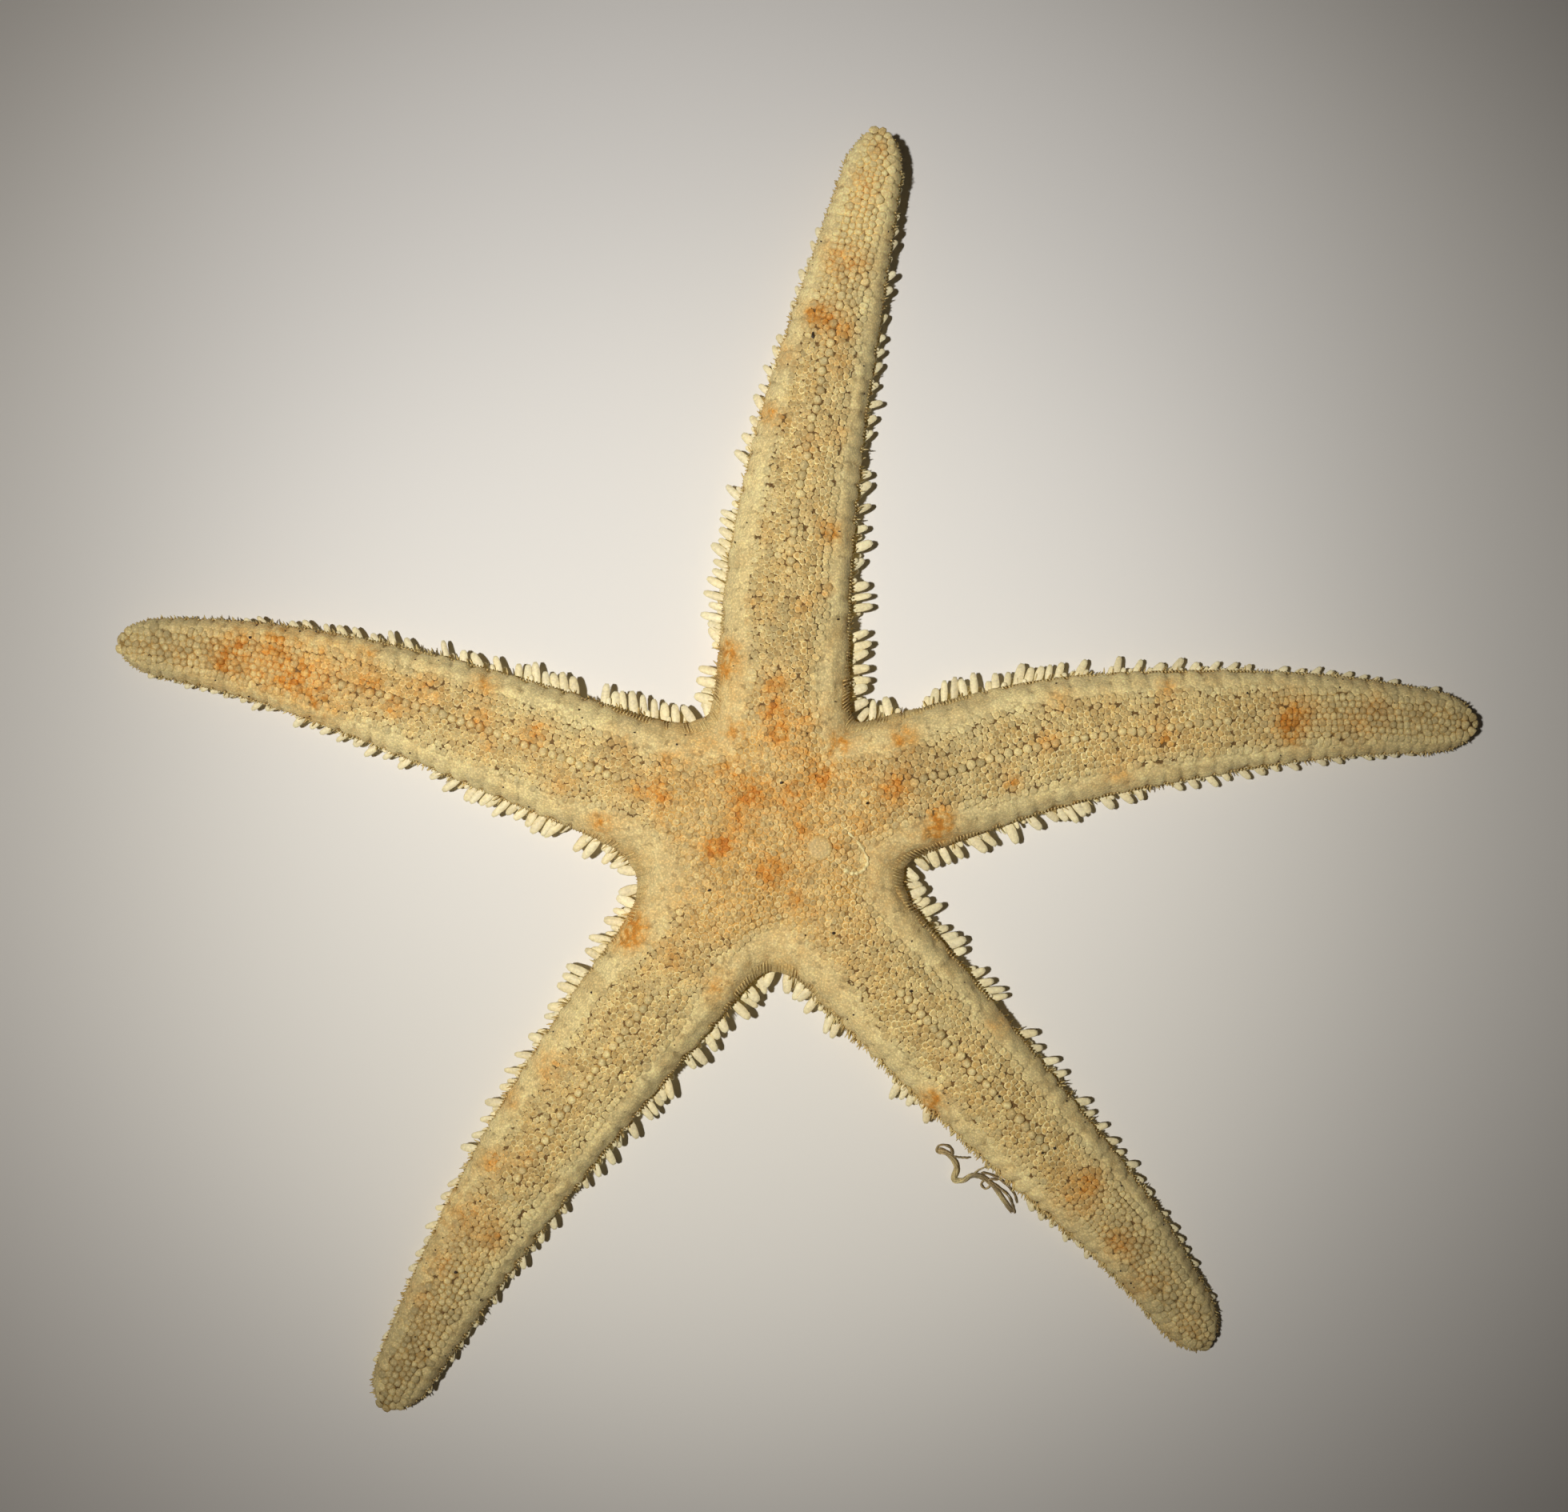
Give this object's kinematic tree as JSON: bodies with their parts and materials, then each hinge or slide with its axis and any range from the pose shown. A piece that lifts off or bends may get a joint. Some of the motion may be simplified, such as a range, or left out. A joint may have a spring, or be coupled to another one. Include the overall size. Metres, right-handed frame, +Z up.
{
  "type": "dried starfish",
  "caption": "Dried comb starfish lying flat on its mouth side, with tapering slightly bowed arms, a granular back and a fringe of flat spines along every edge.",
  "frame": {"origin": "middle of the footprint, on the surface that the starfish lies on", "axes": "+Z up out of the back, +X towards the right arm along the longest spread, +Y towards the upper arm"},
  "size_m": [0.1188, 0.1118, 0.0075],
  "materials": {
    "dried_skin": "dry matte calcite grains, tan to cream with orange stains",
    "dried_fibre": "dull dry plant fibre, grey-brown"
  },
  "bodies": {
    "root": {"starfish": "dried_skin", "fibre_strand": "dried_fibre"}
  },
  "joints": []
}
